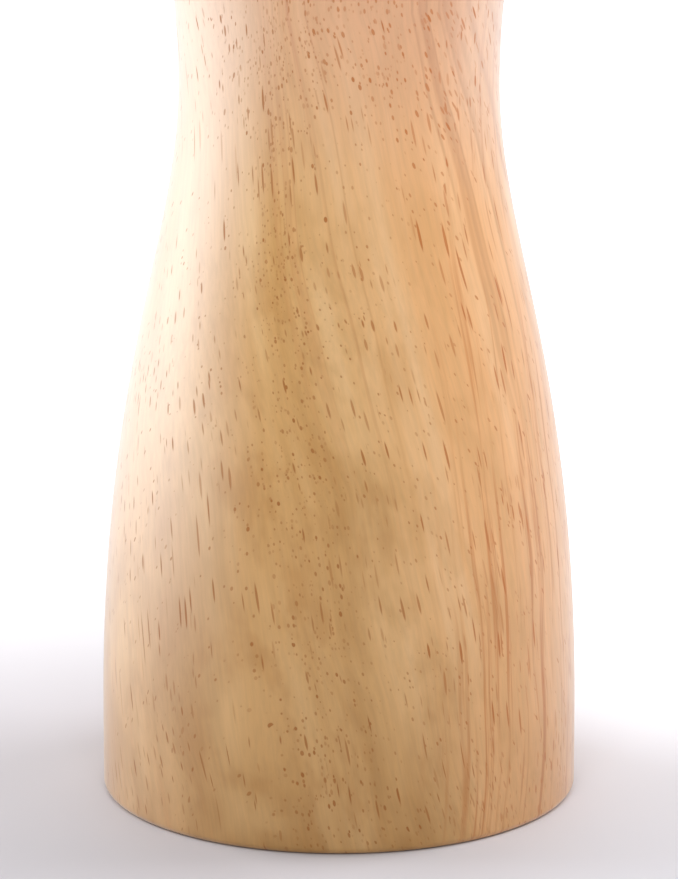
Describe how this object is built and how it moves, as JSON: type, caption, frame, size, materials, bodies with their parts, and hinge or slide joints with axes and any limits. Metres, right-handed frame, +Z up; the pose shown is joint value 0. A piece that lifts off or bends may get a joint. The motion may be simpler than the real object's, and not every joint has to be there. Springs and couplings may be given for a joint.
{
  "type": "pepper mill",
  "caption": "Waisted wooden hand pepper mill with a domed turning head, a ball knob that sets the grind, a square drive shaft and a sprung ceramic burr grinder.",
  "frame": {"origin": "centre of the foot, on the surface that the mill stands on", "axes": "+Z up along the mill's axis; X and Y lie in the foot's plane, and one base screw is on +X"},
  "size_m": [0.058, 0.058, 0.2001],
  "materials": {
    "rubberwood": "satin lacquer over open-pored rubberwood",
    "stainless_steel": "brushed",
    "polished_steel": "polished",
    "zinc_steel": "bright zinc plate",
    "spring_steel": "drawn wire",
    "white_nylon": "matt, natural",
    "black_plastic": "fine moulded grain",
    "ceramic": "unglazed, fine"
  },
  "bodies": {
    "mill_body": {"barrel": "rubberwood", "mouth_ring": "stainless_steel", "glide_washer": "white_nylon", "grinder_housing": "black_plastic", "stator_burr": "ceramic", "base_plate": "stainless_steel", "base_screw_1": "zinc_steel", "base_screw_2": "zinc_steel", "base_screw_3": "zinc_steel"},
    "carrier": {"spring_seat": "zinc_steel", "spring": "spring_steel"},
    "drive": {"drive_shaft": "zinc_steel", "rotor_burr": "ceramic", "rotor_washer": "zinc_steel", "rotor_screw": "zinc_steel"},
    "cap": {"head": "rubberwood", "turn_plate": "stainless_steel", "turn_plate_screw_1": "zinc_steel", "turn_plate_screw_2": "zinc_steel", "turn_plate_screw_3": "zinc_steel", "top_plate": "stainless_steel", "knob_washer": "white_nylon"},
    "finial": {"knob": "polished_steel"}
  },
  "joints": [
    {"name": "head_turn", "type": "hinge", "parent": "mill_body", "child": "carrier", "pos_m": [0, 0, 0.0305], "axis": [0, 0, 1], "continuous": true},
    {"name": "grind_slide", "type": "slide", "parent": "carrier", "child": "drive", "axis": [0, 0, 1], "range_m": [-0.0015, 0], "deforming": ["spring"]},
    {"name": "head_lift", "type": "slide", "parent": "carrier", "child": "cap", "axis": [0, 0, 1], "range_m": [0, 0.09]},
    {"name": "knob_turn", "type": "hinge", "parent": "cap", "child": "finial", "pos_m": [0, 0, 0.181], "axis": [0, 0, 1], "range_deg": [0, 540]}
  ],
  "couplings": [
    {"joint": "knob_turn", "follows": "grind_slide", "rad_per_m": -6283}
  ]
}
